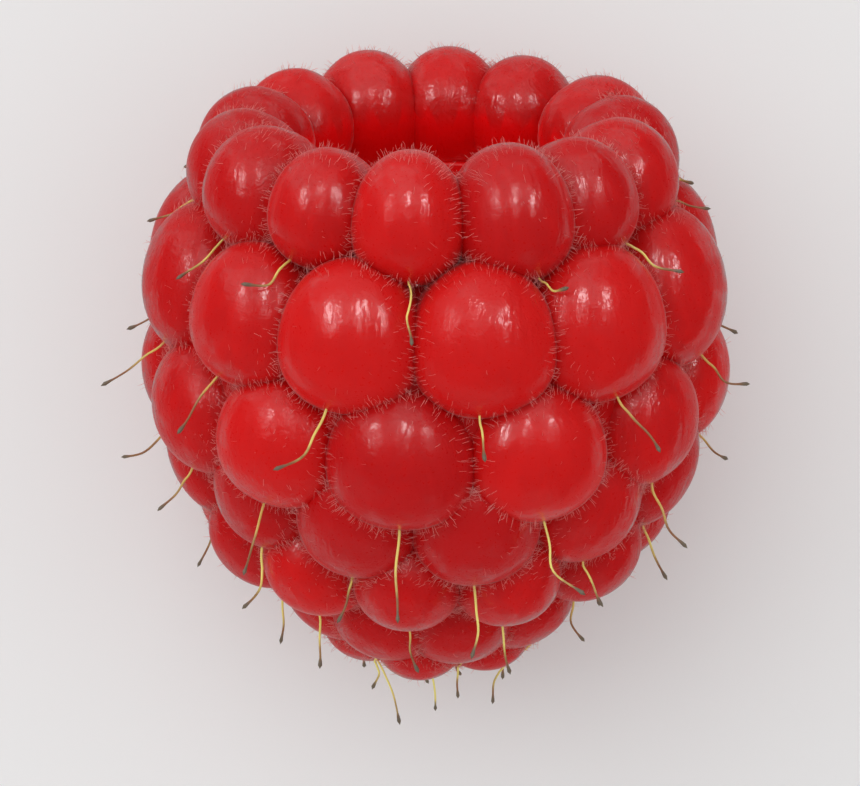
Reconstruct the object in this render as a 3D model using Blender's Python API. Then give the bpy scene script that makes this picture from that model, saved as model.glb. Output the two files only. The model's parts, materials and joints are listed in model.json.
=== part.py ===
"""A ripe red raspberry, picked off its core and lying on its side.

The fruit grew as one piece, so it is one solid: rings of drupelets round a thimble-shaped wall
that is hollow where the core was, and a dried style on each drupelet. It is worked out in the
fruit's own frame, in millimetres: +Z runs from the tip to the rim, the front is -Y and +X is to
the right. Then it is laid down, with the front upwards, the tip towards -Y and the hollow open
towards +Y, and it settles onto a few low drupelets. The file runs in Blender 4.5 with
blender --background --python part.py, in metres with +Z up.
"""

import math
import random
from typing import NamedTuple

import bmesh
import bpy
from mathutils import Matrix, Vector

MM = 0.001


class Ring(NamedTuple):
    """One ring of like drupelets. Lengths are millimetres and turns are degrees."""

    count: int
    turn: float  # from the front to the first drupelet
    settle: float  # further turn of the drupelets at the back
    height: float  # of their middles along the fruit's axis
    radius: float  # of their middles from the axis
    lean: float  # of their outward direction towards the rim
    width: float  # half size round the fruit
    length: float  # half size from tip to rim
    depth: float  # half size outwards


RINGS = (
    Ring(14, -58.5, 4.0, 8.55, 6.97, 18.0, 1.98, 2.33, 2.20),
    Ring(12, -79.2, 6.0, 4.80, 8.67, 13.0, 2.52, 2.68, 2.00),
    Ring(12, -66.8, 6.8, 0.70, 8.95, 0.0, 2.42, 2.42, 1.95),
    Ring(12, -49.7, 4.7, -1.95, 8.05, -18.0, 2.14, 2.50, 1.92),
    Ring(12, -68.2, 8.2, -4.75, 6.90, -38.0, 1.93, 2.10, 1.87),
    Ring(9, -66.6, 0.0, -7.75, 4.00, -52.0, 2.00, 2.15, 1.65),
    Ring(6, -72.0, 0.0, -9.10, 2.70, -67.0, 1.75, 1.65, 1.65),
    Ring(1, 0.0, 0.0, -9.55, 0.00, -90.0, 1.60, 1.60, 1.45),
)
RIM_LOWERING = 0.12  # how much shorter and flatter the rim's drupelets are at the two sides
SIDE_SWELL = 0.07  # how much wider the drupelets are from the sides to the back
SIDE_STRETCH = 0.05  # how much longer they are there

# Further turn in degrees and change of size of the drupelets that stand out of line.
UNEVEN = {
    (0, 0): (-1.5, 0.04),
    (0, 1): (0.0, -0.07),
    (0, 3): (3.0, 0.06),
    (0, 7): (-7.0, 0.04),
    (1, 1): (2.0, -0.06),
    (1, 4): (-2.0, 0.03),
    (1, 5): (-2.0, 0.05),
    (2, 2): (-0.5, 0.07),
    (2, 3): (-1.0, 0.05),
    (2, 4): (-0.5, -0.03),
    (2, 5): (0.5, 0.0),
    (2, 8): (0.0, -0.04),
    (3, 0): (1.0, -0.08),
    (3, 2): (0.0, 0.06),
    (3, 7): (0.0, 0.04),
}
BACK_TURN = 1.8  # largest random turn at the back, degrees
BACK_SIZE = 0.05  # largest random change of size at the back

# The hollow that the core left: a blunt cone.
MOUTH_HEIGHT = 9.0
MOUTH_RADIUS = 5.0
HOLLOW_DEPTH = 14.0
HOLLOW_BLUNTNESS = 2.2
INNER_BULGE = 0.24  # how far the drupelets' inner ends stand into the hollow
WALL_TOP = 7.0
WALL_BASE = -9.6
WALL_RISE = 0.5  # of the wall's outside beyond the drupelets' middles
WALL_SIDES = 20

# Facets of a drupelet: angles from its outward pole, and sides round it.
OUTER_ANGLES = (27.0, 51.0, 73.0, 90.0)
INNER_SHARES = (0.55, 0.92)  # of the way in from its middle to its inner end
DRUPELET_SIDES = 10
INNER_TAPER = 0.32
INNER_BLUNTNESS = 5.0
BOXINESS = 2.12  # power of its outline, where 2 is an ellipse
EGG = 0.11  # how much narrower it is at its rimward end, and wider at the other
SKIN_TRIANGLES = 8700  # of the fused drupelets, once their smallest facets are merged

# The dried styles, one on each drupelet.
STYLE_LENGTH = 2.7
STYLE_RADIUS = 0.085
KNOB_RADIUS = 0.14
STYLE_ROOT_ANGLE = 68.0  # from the drupelet's outward pole towards the tip
STYLE_ROOT_DEPTH = 0.7
STYLE_RISE = 36.0  # of the run away from the drupelet's lower edge, degrees
STYLE_STEPS = (0.0, 0.30, 0.60, 1.0)
STYLE_BEND = 0.7  # share of the way along after which a style turns
STYLE_END_LIFT = 0.2  # further rise of the end, radians
STYLE_SIDES = 3
STYLE_CLEARANCE = 0.12  # between a style and the surface that the fruit lies on
PRESSED_OFF_BELOW = 1.1  # height of the drupelets' lower edges whose styles are pressed off
STYLE_HEADROOM = 0.05  # between a style and the drupelets that it passes over
STYLE_NEIGHBOURS = 3.0  # farthest middle of a drupelet that a style could run into

# What the styles that are not set below draw, and how far any style's rise is from the usual.
DRAWN_LEAN = 8.0  # usual angle of the foot from the middle of the lower edge, degrees
DRAWN_TURNS = (-15.0, 60.0)  # of the end, away from the front, degrees
DRAWN_SHARES = (0.65, 1.1)  # of the usual length
UNEVEN_RISE = 8.0  # degrees

# Place of the foot round the lower edge, swing of the run and further turn of the end, all in
# degrees, and share of the usual length, of the styles at the front.
FRONT_STYLES = {
    (0, 0): (-12.0, 10.0, 0.0, 0.85),
    (0, 1): (-18.0, -8.0, -72.0, 0.90),
    (0, 2): (3.0, 2.0, 16.0, 1.05),
    (0, 3): (6.0, 32.0, 70.0, 0.55),
    (0, 4): (12.0, 20.0, 35.0, 0.95),
    (0, 5): (10.0, 20.0, 30.0, 0.80),
    (0, 13): (-10.0, -10.0, -20.0, 0.95),
    (1, 0): (0.0, 0.0, 10.0, 1.05),
    (1, 1): (-14.0, 0.0, 20.0, 0.95),
    (1, 2): (-10.0, -10.0, -50.0, 1.15),
    (1, 3): (-8.0, -4.0, 0.0, 0.65),
    (1, 4): (-4.0, 16.0, -30.0, 0.95),
    (1, 5): (0.0, 0.0, 60.0, 0.85),
    (1, 6): (0.0, 5.0, 10.0, 1.00),
    (2, 0): (5.0, 5.0, -10.0, 0.75),
    (2, 1): (-6.0, 16.0, 16.0, 1.05),
    (2, 2): (0.0, 2.0, 8.0, 1.20),
    (2, 3): (0.0, 2.0, 50.0, 1.15),
    (2, 4): (-6.0, -8.0, 28.0, 1.00),
    (2, 5): (5.0, -5.0, 40.0, 0.75),
    (3, 1): (0.0, -6.0, -20.0, 0.65),
    (3, 2): (3.0, 2.0, -32.0, 0.98),
    (3, 3): (4.0, 4.0, 8.0, 0.68),
    (3, 4): (4.0, 4.0, 0.0, 0.95),
    (4, 1): (-16.0, 12.0, 6.0, 0.95),
    (4, 2): (0.0, 0.0, 35.0, 0.80),
    (4, 3): (4.0, 2.0, 15.0, 0.90),
    (4, 4): (8.0, -14.0, 60.0, 0.85),
    (6, 1): (0.0, 0.0, -4.0, 1.60),
}

# How the fruit lies.
TILT = 22.0  # rise of its axis towards the rim, degrees
MIDDLE_ABOVE_SURFACE = 9.65

LAID = Matrix.Rotation(math.radians(TILT - 90.0), 4, "X")


class Drupelet(NamedTuple):
    """A drupelet's place in the fruit's frame, its three directions and its half sizes."""

    ring: int
    place: int
    middle: Vector
    sideways: Vector
    rimward: Vector
    outward: Vector
    width: float
    length: float
    depth: float
    inner: float


def hollow_radius(height):
    """Radius of the hollow at a height along the axis."""
    down = min(max((MOUTH_HEIGHT - height) / HOLLOW_DEPTH, 0.0), 1.0)
    return MOUTH_RADIUS * (1.0 - down**HOLLOW_BLUNTNESS) ** (1.0 / HOLLOW_BLUNTNESS)


def inner_length(middle, outward):
    """How far a drupelet reaches inwards from its middle, to just inside the hollow."""
    step = 0.05
    length = 0.0
    point = middle.copy()
    while math.hypot(point.x, point.y) > hollow_radius(point.z) and point.z < MOUTH_HEIGHT:
        length += step
        point = middle - outward * length
    return length + INNER_BULGE


def drupelet_at(number, place):
    """The drupelet at one place of a ring."""
    ring = RINGS[number]
    turn = ring.turn + 360.0 * place / ring.count
    back = 0.5 - 0.5 * math.cos(math.radians(turn))
    draw = random.Random(f"drupelet {number} {place}")
    extra_turn, extra_size = UNEVEN.get((number, place), (0.0, 0.0))
    turn += extra_turn + ring.settle * back + BACK_TURN * back * draw.uniform(-1.0, 1.0)
    size = 1.0 + extra_size + BACK_SIZE * back * draw.uniform(-1.0, 1.0)
    aside = min(2.0 * back, 1.0)
    lowered = RIM_LOWERING * math.sin(math.radians(turn)) ** 2 if number == 0 else 0.0
    angle = math.radians(turn)
    lean = math.radians(ring.lean)
    away = Vector((math.sin(angle), -math.cos(angle), 0.0))
    up = Vector((0.0, 0.0, 1.0))
    outward = away * math.cos(lean) + up * math.sin(lean)
    rimward = up * math.cos(lean) - away * math.sin(lean)
    middle = away * ring.radius + up * ring.height
    return Drupelet(
        number,
        place,
        middle,
        rimward.cross(outward),
        rimward,
        outward,
        ring.width * (size + SIDE_SWELL * aside),
        ring.length * (size + SIDE_STRETCH * aside - lowered),
        ring.depth * (size - lowered),
        inner_length(middle, outward),
    )


def skin_point(drupelet, across, rise, around):
    """A point a share of the half width across the drupelet, and a distance above its middle."""
    side, up = math.cos(around), math.sin(around)
    across /= (abs(side) ** BOXINESS + abs(up) ** BOXINESS) ** (1.0 / BOXINESS)
    side *= 1.0 - EGG * across * up
    return (
        drupelet.middle
        + drupelet.sideways * (drupelet.width * across * side)
        + drupelet.rimward * (drupelet.length * across * up)
        + drupelet.outward * rise
    )


def outer_point(drupelet, polar, around):
    """A point of the rounded outer half, by its angle from the outward pole and round that pole."""
    polar = math.radians(polar)
    return skin_point(drupelet, math.sin(polar), drupelet.depth * math.cos(polar), around)


def inner_point(drupelet, share, around):
    """A point of the tapered inner half, by its share of the way to the inner end."""
    across = (1.0 - INNER_TAPER * share**2) * (1.0 - share**INNER_BLUNTNESS) ** 0.5
    return skin_point(drupelet, across, -drupelet.inner * share, around)


def add_band(mesh, lower, upper):
    """Faces between two rings of as many vertices."""
    for index in range(len(lower)):
        after = (index + 1) % len(lower)
        mesh.faces.new((lower[index], lower[after], upper[after], upper[index]))


def add_fan(mesh, point, ring):
    """A point joined to a ring of vertices."""
    centre = mesh.verts.new(point)
    for index in range(len(ring)):
        mesh.faces.new((centre, ring[index], ring[(index + 1) % len(ring)]))


def ring_of(mesh, points):
    return [mesh.verts.new(point) for point in points]


def closed_object(name, mesh):
    """The mesh as a new object in metres, with its faces turned outwards."""
    bmesh.ops.recalc_face_normals(mesh, faces=mesh.faces)
    bmesh.ops.scale(mesh, vec=(MM, MM, MM), verts=mesh.verts)
    data = bpy.data.meshes.new(name)
    mesh.to_mesh(data)
    mesh.free()
    return bpy.data.objects.new(name, data)


def drupelet_object(drupelet):
    """The drupelet's skin, with a facet edge on each angle."""
    mesh = bmesh.new()
    levels = [(outer_point, polar) for polar in OUTER_ANGLES]
    levels += [(inner_point, share) for share in INNER_SHARES]
    rings = []
    for number, (place_point, value) in enumerate(levels):
        offset = 0.5 * (number % 2)
        turns = [2.0 * math.pi * (side + offset) / DRUPELET_SIDES for side in range(DRUPELET_SIDES)]
        rings.append(ring_of(mesh, [place_point(drupelet, value, turn) for turn in turns]))
    for number in range(len(rings) - 1):
        lower, upper = rings[number], rings[number + 1]
        for side in range(DRUPELET_SIDES):
            after = (side + 1) % DRUPELET_SIDES
            if number % 2:
                mesh.faces.new((lower[side], lower[after], upper[after]))
                mesh.faces.new((lower[side], upper[after], upper[side]))
            else:
                mesh.faces.new((lower[side], lower[after], upper[side]))
                mesh.faces.new((lower[after], upper[after], upper[side]))
    add_fan(mesh, outer_point(drupelet, 0.0, 0.0), rings[0])
    add_fan(mesh, inner_point(drupelet, 1.0, 0.0), rings[-1])
    return closed_object(f"drupelet_{drupelet.ring}_{drupelet.place}", mesh)


def wall_profile():
    """Heights and radii down the outside of the wall, a little beyond the drupelets' middles."""
    profile = [(WALL_TOP, RINGS[0].radius)]
    profile += [(ring.height, ring.radius + WALL_RISE) for ring in RINGS[1:-1]]
    return profile


def hollow_profile():
    """Heights and radii up the inside of the wall."""
    bottom = MOUTH_HEIGHT - HOLLOW_DEPTH
    shares = (0.03, 0.12, 0.30, 0.55, 0.80)
    heights = [bottom + HOLLOW_DEPTH * share for share in shares] + [WALL_TOP]
    return [(height, hollow_radius(height)) for height in heights]


def wall_object():
    """The thimble-shaped wall that the drupelets stand on."""
    mesh = bmesh.new()

    def turned(profile, sides):
        rings = []
        for height, radius in profile:
            points = (
                (
                    radius * math.cos(2.0 * math.pi * side / sides),
                    radius * math.sin(2.0 * math.pi * side / sides),
                    height,
                )
                for side in range(sides)
            )
            rings.append(ring_of(mesh, points))
        return rings

    outside = turned(wall_profile(), WALL_SIDES)
    inside = turned(hollow_profile(), WALL_SIDES)
    for lower, upper in zip(outside, outside[1:]):
        add_band(mesh, lower, upper)
    for lower, upper in zip(inside, inside[1:]):
        add_band(mesh, lower, upper)
    add_band(mesh, outside[0], inside[-1])
    add_fan(mesh, (0.0, 0.0, WALL_BASE), outside[-1])
    add_fan(mesh, (0.0, 0.0, MOUTH_HEIGHT - HOLLOW_DEPTH), inside[0])
    return closed_object("raspberry", mesh)


def lifted_clear(point, drupelets, owner):
    """The point moved out of any drupelet but its owner."""
    for drupelet in drupelets:
        if drupelet is owner:
            continue
        apart = point - drupelet.middle
        if apart.length > STYLE_NEIGHBOURS:
            continue
        share = math.sqrt(
            (apart.dot(drupelet.sideways) / drupelet.width) ** 2
            + (apart.dot(drupelet.rimward) / drupelet.length) ** 2
            + (apart.dot(drupelet.outward) / drupelet.depth) ** 2
        )
        room = 1.0 + (STYLE_RADIUS + STYLE_HEADROOM) / drupelet.depth
        if 0.0 < share < room:
            point = drupelet.middle + apart * (room / share)
    return point


def has_style(drupelet):
    """Whether the drupelet's lower edge is high enough above the surface to keep its style."""
    foot = LAID @ outer_point(drupelet, STYLE_ROOT_ANGLE, -0.5 * math.pi)
    return foot.z + MIDDLE_ABOVE_SURFACE > PRESSED_OFF_BELOW


def style_path(drupelet, drupelets):
    """Points along a style, from inside its drupelet to the knob, in the fruit's frame."""
    draw = random.Random(f"style {drupelet.ring} {drupelet.place}")
    turned = 1.0 if drupelet.middle.x > 0.0 else -1.0
    lean = draw.gauss(0.0, DRAWN_LEAN)
    drawn = (lean, lean, turned * draw.uniform(*DRAWN_TURNS), draw.uniform(*DRAWN_SHARES))
    lean, run, turn, share = FRONT_STYLES.get((drupelet.ring, drupelet.place), drawn)
    rise = math.radians(STYLE_RISE + draw.uniform(-UNEVEN_RISE, UNEVEN_RISE))
    length = STYLE_LENGTH * share
    foot = outer_point(drupelet, STYLE_ROOT_ANGLE, math.radians(lean - 90.0))
    points = []
    point = foot
    before = 0.0
    for step in STYLE_STEPS:
        at_end = step > STYLE_BEND
        swing = math.radians(run + (turn if at_end else 0.0))
        lift = rise + (STYLE_END_LIFT if at_end else 0.0)
        heading = (
            drupelet.outward * math.sin(lift)
            - drupelet.rimward * (math.cos(lift) * math.cos(swing))
            + drupelet.sideways * (math.cos(lift) * math.sin(swing))
        )
        point = point + heading * (length * (step - before))
        point = lifted_clear(point, drupelets, drupelet)
        before = step
        points.append(point.copy())
    root = drupelet.middle + (foot - drupelet.middle) * (1.0 - STYLE_ROOT_DEPTH)
    return [root] + points


def kept_off_surface(points):
    """The path with what would go through the surface under the fruit cut short."""
    lowest = STYLE_CLEARANCE + KNOB_RADIUS - MIDDLE_ABOVE_SURFACE
    kept = []
    for point in points:
        laid = LAID @ point
        laid.z = max(laid.z, lowest)
        kept.append(LAID.inverted() @ laid)
    return kept


def style_object(drupelet, drupelets):
    """A style as a slim three-sided stalk with a knob at its end."""
    path = kept_off_surface(style_path(drupelet, drupelets))
    radii = [STYLE_RADIUS] * (len(path) - 1) + [KNOB_RADIUS]
    mesh = bmesh.new()
    rings = []
    side = drupelet.sideways
    for index, (point, radius) in enumerate(zip(path, radii)):
        ahead = path[min(index + 1, len(path) - 1)] - path[max(index - 1, 0)]
        along = ahead.normalized()
        side = (side - along * side.dot(along)).normalized()
        other = along.cross(side)
        corners = []
        for corner in range(STYLE_SIDES):
            angle = 2.0 * math.pi * corner / STYLE_SIDES
            corners.append(point + (side * math.cos(angle) + other * math.sin(angle)) * radius)
        rings.append(ring_of(mesh, corners))
    for lower, upper in zip(rings, rings[1:]):
        add_band(mesh, lower, upper)
    mesh.faces.new(rings[0])
    mesh.faces.new(rings[-1])
    bmesh.ops.triangulate(mesh, faces=mesh.faces)
    return closed_object(f"style_{drupelet.ring}_{drupelet.place}", mesh)


def fuse(base, pieces):
    """One Boolean union of the base and all the pieces, applied, with the pieces removed."""
    group = bpy.data.collections.new("fused")
    bpy.context.scene.collection.children.link(group)
    for piece in pieces:
        group.objects.link(piece)
    union = base.modifiers.new("fuse", "BOOLEAN")
    union.operation = "UNION"
    union.operand_type = "COLLECTION"
    union.collection = group
    union.solver = "EXACT"
    graph = bpy.context.evaluated_depsgraph_get()
    fused = bpy.data.meshes.new_from_object(base.evaluated_get(graph))
    base.modifiers.clear()
    base.data = fused
    for piece in pieces:
        bpy.data.objects.remove(piece)
    bpy.data.collections.remove(group)


def connected_faces(face, found):
    """The face and all that it is joined to, which are added to what was found before."""
    found.add(face)
    waiting = [face]
    joined = []
    while waiting:
        face = waiting.pop()
        joined.append(face)
        for edge in face.edges:
            for neighbour in edge.link_faces:
                if neighbour not in found:
                    found.add(neighbour)
                    waiting.append(neighbour)
    return joined


def fill_sealed_hollows(fruit):
    """Only the largest shell kept, so that small gaps shut in between drupelets are solid."""
    mesh = bmesh.new()
    mesh.from_mesh(fruit.data)
    found = set()
    shells = [connected_faces(face, found) for face in mesh.faces if face not in found]
    shells.sort(key=len)
    for shell in shells[:-1]:
        bmesh.ops.delete(mesh, geom=shell, context="FACES")
    mesh.to_mesh(fruit.data)
    mesh.free()


def merge_facets(fruit):
    """The smallest facets of the fused drupelets merged, down to the count that is wanted."""
    fruit.data.calc_loop_triangles()
    merge = fruit.modifiers.new("merge_facets", "DECIMATE")
    merge.ratio = SKIN_TRIANGLES / len(fruit.data.loop_triangles)
    graph = bpy.context.evaluated_depsgraph_get()
    merged = bpy.data.meshes.new_from_object(fruit.evaluated_get(graph))
    fruit.modifiers.clear()
    fruit.data = merged


def lay_down(fruit):
    """The fruit turned onto its side, flattened where it lies, with its origin under its middle."""
    mesh = bmesh.new()
    mesh.from_mesh(fruit.data)
    bmesh.ops.transform(mesh, matrix=LAID, verts=mesh.verts)
    everything = mesh.verts[:] + mesh.edges[:] + mesh.faces[:]
    surface = Vector((0.0, 0.0, -MIDDLE_ABOVE_SURFACE * MM))
    down = (0.0, 0.0, -1.0)
    bmesh.ops.bisect_plane(mesh, geom=everything, plane_co=surface, plane_no=down, clear_outer=True)
    rim = [edge for edge in mesh.edges if edge.is_boundary]
    bmesh.ops.holes_fill(mesh, edges=rim)
    low = Vector([min(vertex.co[axis] for vertex in mesh.verts) for axis in range(3)])
    high = Vector([max(vertex.co[axis] for vertex in mesh.verts) for axis in range(3)])
    middle = (low + high) / 2.0
    bmesh.ops.translate(mesh, vec=(-middle.x, -middle.y, -low.z), verts=mesh.verts)
    bmesh.ops.triangulate(mesh, faces=mesh.faces)
    mesh.to_mesh(fruit.data)
    mesh.free()


def skin_material():
    """Ripe raspberry skin: deep red with a soft shine."""
    material = bpy.data.materials.new("raspberry_skin")
    material.use_nodes = True
    shader = material.node_tree.nodes["Principled BSDF"]
    shader.inputs["Base Color"].default_value = (0.55, 0.015, 0.02, 1.0)
    shader.inputs["Roughness"].default_value = 0.32
    shader.inputs["Metallic"].default_value = 0.0
    return material


def main():
    for leftover in list(bpy.data.objects):
        bpy.data.objects.remove(leftover, do_unlink=True)
    drupelets = [
        drupelet_at(number, place)
        for number, ring in enumerate(RINGS)
        for place in range(ring.count)
    ]
    fruit = wall_object()
    bpy.context.scene.collection.objects.link(fruit)
    fuse(fruit, [drupelet_object(drupelet) for drupelet in drupelets])
    fill_sealed_hollows(fruit)
    merge_facets(fruit)
    styled = [drupelet for drupelet in drupelets if has_style(drupelet)]
    fuse(fruit, [style_object(drupelet, drupelets) for drupelet in styled])
    fill_sealed_hollows(fruit)
    lay_down(fruit)
    fruit.data.materials.clear()
    fruit.data.materials.append(skin_material())
    fruit.data.shade_flat()


main()
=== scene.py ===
"""The looks of a ripe red raspberry that lies on its side on a pale studio floor.

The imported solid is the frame: its box says where the fruit lies. The drupelets, the dried styles
and the fine hairs are grown here by the rules that shaped the solid, with more facets, in the
fruit's own frame in millimetres: +Z runs from the tip to the rim, the front is -Y and +X is to
the right. They are then laid down on the floor in metres. Each piece has its own operator.
"""

import json
import math
import random
from typing import NamedTuple

import bmesh
import bpy
import numpy as np
from bpy.props import FloatProperty, FloatVectorProperty, IntProperty, PointerProperty
from mathutils import Matrix, Vector

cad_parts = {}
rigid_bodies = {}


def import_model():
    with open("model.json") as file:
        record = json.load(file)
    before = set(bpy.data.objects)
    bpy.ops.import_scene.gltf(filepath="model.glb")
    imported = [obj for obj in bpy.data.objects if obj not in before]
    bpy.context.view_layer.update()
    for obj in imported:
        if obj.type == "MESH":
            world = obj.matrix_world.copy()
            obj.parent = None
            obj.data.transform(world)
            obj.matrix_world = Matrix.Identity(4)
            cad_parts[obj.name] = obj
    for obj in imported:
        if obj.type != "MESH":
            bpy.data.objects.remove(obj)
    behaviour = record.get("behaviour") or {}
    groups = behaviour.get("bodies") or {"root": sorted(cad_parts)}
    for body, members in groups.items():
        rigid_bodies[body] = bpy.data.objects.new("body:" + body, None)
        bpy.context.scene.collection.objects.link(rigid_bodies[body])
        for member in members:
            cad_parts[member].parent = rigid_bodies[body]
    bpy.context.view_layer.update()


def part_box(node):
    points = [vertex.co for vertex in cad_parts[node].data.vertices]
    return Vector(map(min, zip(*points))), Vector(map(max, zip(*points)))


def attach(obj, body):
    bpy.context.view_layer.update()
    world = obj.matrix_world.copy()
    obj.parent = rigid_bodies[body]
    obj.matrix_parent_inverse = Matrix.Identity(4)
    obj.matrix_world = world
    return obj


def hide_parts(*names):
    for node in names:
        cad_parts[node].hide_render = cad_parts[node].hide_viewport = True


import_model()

bl_info = {
    "name": "Raspberry",
    "version": (1, 0, 0),
    "blender": (4, 5, 0),
    "location": "View3D > Sidebar > Raspberry",
    "description": "Grows the skin, styles and hairs of a raspberry round its solid",
    "category": "Add Mesh",
}

MM = 0.001
NODE = "raspberry"
BODY = "root"


# The fruit's growth, as in its solid.


class Ring(NamedTuple):
    """One ring of like drupelets. Lengths are millimetres and turns are degrees."""

    count: int
    turn: float  # from the front to the first drupelet
    settle: float  # further turn of the drupelets at the back
    height: float  # of their middles along the fruit's axis
    radius: float  # of their middles from the axis
    lean: float  # of their outward direction towards the rim
    width: float  # half size round the fruit
    length: float  # half size from tip to rim
    depth: float  # half size outwards


RINGS = (
    Ring(14, -58.5, 4.0, 8.55, 6.97, 18.0, 1.98, 2.33, 2.20),
    Ring(12, -79.2, 6.0, 4.80, 8.67, 13.0, 2.52, 2.68, 2.00),
    Ring(12, -66.8, 6.8, 0.70, 8.95, 0.0, 2.42, 2.42, 1.95),
    Ring(12, -49.7, 4.7, -1.95, 8.05, -18.0, 2.14, 2.50, 1.92),
    Ring(12, -68.2, 8.2, -4.75, 6.90, -38.0, 1.93, 2.10, 1.87),
    Ring(9, -66.6, 0.0, -7.75, 4.00, -52.0, 2.00, 2.15, 1.65),
    Ring(6, -72.0, 0.0, -9.10, 2.70, -67.0, 1.75, 1.65, 1.65),
    Ring(1, 0.0, 0.0, -9.55, 0.00, -90.0, 1.60, 1.60, 1.45),
)
RIM_LOWERING = 0.12
SIDE_SWELL = 0.07
SIDE_STRETCH = 0.05

# Further turn in degrees and change of size of the drupelets that stand out of line.
UNEVEN = {
    (0, 0): (-1.5, 0.04),
    (0, 1): (0.0, -0.07),
    (0, 3): (3.0, 0.06),
    (0, 7): (-7.0, 0.04),
    (1, 1): (2.0, -0.06),
    (1, 4): (-2.0, 0.03),
    (1, 5): (-2.0, 0.05),
    (2, 2): (-0.5, 0.07),
    (2, 3): (-1.0, 0.05),
    (2, 4): (-0.5, -0.03),
    (2, 5): (0.5, 0.0),
    (2, 8): (0.0, -0.04),
    (3, 0): (1.0, -0.08),
    (3, 2): (0.0, 0.06),
    (3, 7): (0.0, 0.04),
}
BACK_TURN = 1.8
BACK_SIZE = 0.05

# The drupelets at the front that are a deeper or a brighter red than their neighbours.
TONES = {
    (0, 2): 0.80,
    (0, 3): 0.30,
    (0, 4): 0.20,
    (0, 5): 0.45,
    (1, 0): 0.30,
    (1, 1): 0.60,
    (1, 2): 0.95,
    (1, 3): 0.90,
    (1, 4): 0.75,
    (1, 5): 0.55,
    (2, 0): 0.40,
    (2, 1): 0.90,
    (2, 2): 0.20,
    (2, 3): 0.85,
    (2, 4): 0.50,
    (2, 5): 0.80,
    (3, 1): 0.05,
    (3, 2): 0.00,
    (3, 3): 0.40,
    (4, 1): 0.70,
    (4, 2): 0.35,
    (4, 3): 0.45,
}

MOUTH_HEIGHT = 9.0
MOUTH_RADIUS = 5.0
HOLLOW_DEPTH = 14.0
HOLLOW_BLUNTNESS = 2.2
INNER_BULGE = 0.24
WALL_TOP = 7.0
WALL_BASE = -9.6
WALL_RISE = 0.5
INNER_TAPER = 0.32
INNER_BLUNTNESS = 5.0

STYLE_LENGTH = 2.7
STYLE_ROOT_ANGLE = 68.0
STYLE_ROOT_DEPTH = 0.7
STYLE_RISE = 36.0
STYLE_STEPS = (0.0, 0.30, 0.60, 1.0)
STYLE_BEND = 0.7
STYLE_END_LIFT = 0.2
STYLE_CLEARANCE = 0.12
STYLE_NEIGHBOURS = 3.0
PRESSED_OFF_BELOW = 1.1
SOLID_STYLE_RADIUS = 0.085
SOLID_KNOB_RADIUS = 0.14
STYLE_HEADROOM = 0.05
UNEVEN_RISE = 8.0
DRAWN_LEAN = 8.0
DRAWN_TURNS = (-15.0, 60.0)
DRAWN_SHARES = (0.65, 1.1)

# Place of the foot, swing of the run and turn of the end, in degrees, and share of the length.
FRONT_STYLES = {
    (0, 0): (-12.0, 10.0, 0.0, 0.85),
    (0, 1): (-18.0, -8.0, -72.0, 0.90),
    (0, 2): (3.0, 2.0, 16.0, 1.05),
    (0, 3): (6.0, 32.0, 70.0, 0.55),
    (0, 4): (12.0, 20.0, 35.0, 0.95),
    (0, 5): (10.0, 20.0, 30.0, 0.80),
    (0, 13): (-10.0, -10.0, -20.0, 0.95),
    (1, 0): (0.0, 0.0, 10.0, 1.05),
    (1, 1): (-14.0, 0.0, 20.0, 0.95),
    (1, 2): (-10.0, -10.0, -50.0, 1.15),
    (1, 3): (-8.0, -4.0, 0.0, 0.65),
    (1, 4): (-4.0, 16.0, -30.0, 0.95),
    (1, 5): (0.0, 0.0, 60.0, 0.85),
    (1, 6): (0.0, 5.0, 10.0, 1.00),
    (2, 0): (5.0, 5.0, -10.0, 0.75),
    (2, 1): (-6.0, 16.0, 16.0, 1.05),
    (2, 2): (0.0, 2.0, 8.0, 1.20),
    (2, 3): (0.0, 2.0, 50.0, 1.15),
    (2, 4): (-6.0, -8.0, 28.0, 1.00),
    (2, 5): (5.0, -5.0, 40.0, 0.75),
    (3, 1): (0.0, -6.0, -20.0, 0.65),
    (3, 2): (3.0, 2.0, -32.0, 0.98),
    (3, 3): (4.0, 4.0, 8.0, 0.68),
    (3, 4): (4.0, 4.0, 0.0, 0.95),
    (4, 1): (-16.0, 12.0, 6.0, 0.95),
    (4, 2): (0.0, 0.0, 35.0, 0.80),
    (4, 3): (4.0, 2.0, 15.0, 0.90),
    (4, 4): (8.0, -14.0, 60.0, 0.85),
    (6, 1): (0.0, 0.0, -4.0, 1.60),
}

TILT = 22.0
MIDDLE_ABOVE_SURFACE = 9.65
LAID = Matrix.Rotation(math.radians(TILT - 90.0), 4, "X")

BOXINESS = 2.12  # power of a drupelet's outline, where 2 is an ellipse
EGG = 0.11  # how much narrower it is at its rimward end, and wider at the other

# How the finer skin is made and marked.
PAST_INNER_END = 1.5  # shares of the inner length, to where distances are told
AT_INNER_END = 0.999
POINTS_AT_ONCE = 8000  # measured against every drupelet in one go
INNER_ROWS = (0.15, 0.30, 0.45, 0.60, 0.75, 0.88, 0.97)  # along a drupelet's inner end
HOLLOW_ROWS = (0.85, 0.7, 0.55, 0.42, 0.30, 0.20, 0.12, 0.06, 0.02)  # down the hollow
HOLLOW_REACH = 0.9  # millimetres from the hollow that its colour goes into the flesh
HOLLOW_FADE = 0.6  # millimetres, up to there, over which it fades
STRAND_SPACING = 40.0  # between different drupelets' places in the skin's patterns
WALL_TONE = 0.3
DEEPEST_RINGS = 5  # the first of the rings near the tip, which are a deeper red
TONE_LIMITS = (0.75, 0.30)  # on drawn tones, above and in those rings


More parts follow.
